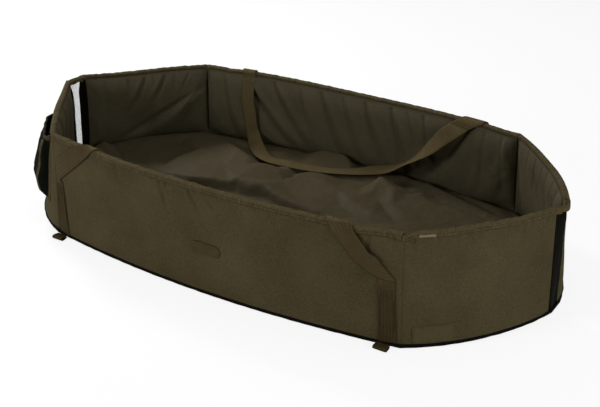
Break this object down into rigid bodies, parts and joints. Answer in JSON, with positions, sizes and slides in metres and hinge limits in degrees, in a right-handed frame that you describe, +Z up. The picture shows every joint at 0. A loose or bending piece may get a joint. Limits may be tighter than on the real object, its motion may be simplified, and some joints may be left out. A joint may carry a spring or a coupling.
{
  "type": "unhooking mat",
  "caption": "Long padded fabric tub that a landed fish rests in, with low foam walls, loose floor liner, drain nets at its ends, webbing carry handles, peg loops and a side net pocket.",
  "frame": {"origin": "middle of the underside, on the ground", "axes": "+X runs along the mat, -Y is its front, on the side of the end wall that carries the pocket, and +Z is up"},
  "size_m": [1.3029, 0.6938, 0.2431],
  "materials": {
    "cover_cloth": "matte",
    "lining_cloth": "satin",
    "liner_cloth": "satin",
    "webbing": "matte",
    "binding_tape": "matte",
    "black_cloth": "matte",
    "black_net": "matte",
    "foam": "matte"
  },
  "bodies": {
    "mat": {"underside_cover": "black_cloth", "base_pad": "foam", "floor_liner": "liner_cloth", "front_wall_pad": "foam", "front_wall_cover": "cover_cloth", "front_wall_lining": "lining_cloth", "front_wall_binding": "binding_tape", "back_wall_pad": "foam", "back_wall_cover": "cover_cloth", "back_wall_lining": "lining_cloth", "back_wall_binding": "binding_tape", "left_front_end_pad": "foam", "left_front_end_cover": "cover_cloth", "left_front_end_lining": "lining_cloth", "left_front_end_binding": "binding_tape", "left_back_end_pad": "foam", "left_back_end_cover": "cover_cloth", "left_back_end_lining": "lining_cloth", "left_back_end_binding": "binding_tape", "right_front_end_pad": "foam", "right_front_end_cover": "cover_cloth", "right_front_end_lining": "lining_cloth", "right_front_end_binding": "binding_tape", "right_back_end_pad": "foam", "right_back_end_cover": "cover_cloth", "right_back_end_lining": "lining_cloth", "right_back_end_binding": "binding_tape", "left_net": "black_net", "right_net": "black_net", "left_net_tape": "binding_tape", "right_net_tape": "binding_tape", "front_left_strap": "webbing", "front_right_strap": "webbing", "back_left_strap": "webbing", "back_right_strap": "webbing", "pocket_back": "cover_cloth", "pocket_net": "black_net", "pocket_binding": "binding_tape"},
    "front_handle": {"front_handle": "webbing"},
    "back_handle": {"back_handle": "webbing"},
    "front_left_peg_loop": {"front_left_peg_loop": "webbing"},
    "front_right_peg_loop": {"front_right_peg_loop": "webbing"},
    "back_left_peg_loop": {"back_left_peg_loop": "webbing"},
    "back_right_peg_loop": {"back_right_peg_loop": "webbing"}
  },
  "joints": [
    {"name": "front_handle_lift", "type": "hinge", "parent": "mat", "child": "front_handle", "pos_m": [0, -0.28069, 0.2422], "axis": [1, 0, 0], "range_deg": [0, 160]},
    {"name": "back_handle_lift", "type": "hinge", "parent": "mat", "child": "back_handle", "pos_m": [0, 0.28507, 0.2422], "axis": [-1, 0, 0], "range_deg": [0, 160]},
    {"name": "front_left_peg_loop_turn", "type": "hinge", "parent": "mat", "child": "front_left_peg_loop", "pos_m": [-0.418, -0.31529, 0.0047], "axis": [-1, 0, 0], "range_deg": [0, 90]},
    {"name": "front_right_peg_loop_turn", "type": "hinge", "parent": "mat", "child": "front_right_peg_loop", "pos_m": [0.418, -0.31529, 0.0047], "axis": [-1, 0, 0], "range_deg": [0, 90]},
    {"name": "back_left_peg_loop_turn", "type": "hinge", "parent": "mat", "child": "back_left_peg_loop", "pos_m": [-0.418, 0.31529, 0.0047], "axis": [1, 0, 0], "range_deg": [0, 90]},
    {"name": "back_right_peg_loop_turn", "type": "hinge", "parent": "mat", "child": "back_right_peg_loop", "pos_m": [0.418, 0.31529, 0.0047], "axis": [1, 0, 0], "range_deg": [0, 90]}
  ]
}
